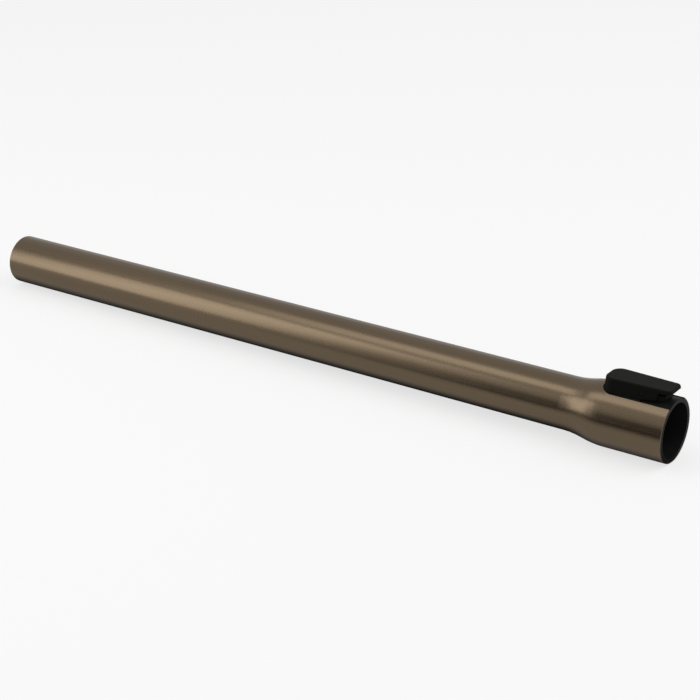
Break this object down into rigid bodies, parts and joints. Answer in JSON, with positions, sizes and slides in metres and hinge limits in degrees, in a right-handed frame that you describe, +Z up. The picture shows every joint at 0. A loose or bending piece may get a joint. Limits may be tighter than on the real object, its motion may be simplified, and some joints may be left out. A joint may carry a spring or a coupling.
{
  "type": "vacuum extension wand",
  "caption": "Straight metal vacuum wand: a plain spigot end, a swaged socket with a plastic liner, and a sprung rocker latch that catches the tube pushed into the socket.",
  "frame": {"origin": "centre of the socket's mouth, on the tube's axis", "axes": "+X along the tube's axis, out of the socket's mouth; +Z up through the latch"},
  "size_m": [0.4915, 0.0386, 0.045],
  "materials": {
    "tube_metal": "satin, brushed along the tube, bronze tint",
    "liner_plastic": "moulded, fine matt",
    "lever_plastic": "moulded, satin",
    "pin_steel": "blackened",
    "spring_steel": "drawn wire"
  },
  "bodies": {
    "wand": {"wand_tube": "tube_metal", "socket_liner": "liner_plastic", "pivot_pin": "pin_steel", "latch_spring": "spring_steel"},
    "lever": {"latch_lever": "lever_plastic"}
  },
  "joints": [
    {"name": "latch_rock", "type": "hinge", "parent": "wand", "child": "lever", "pos_m": [-0.0185, 0, 0.0208], "axis": [0, 1, 0], "range_deg": [0, 8], "stiffness_Nm_per_rad": 0.25, "springref_deg": -8.59, "deforming": ["latch_spring"]}
  ]
}
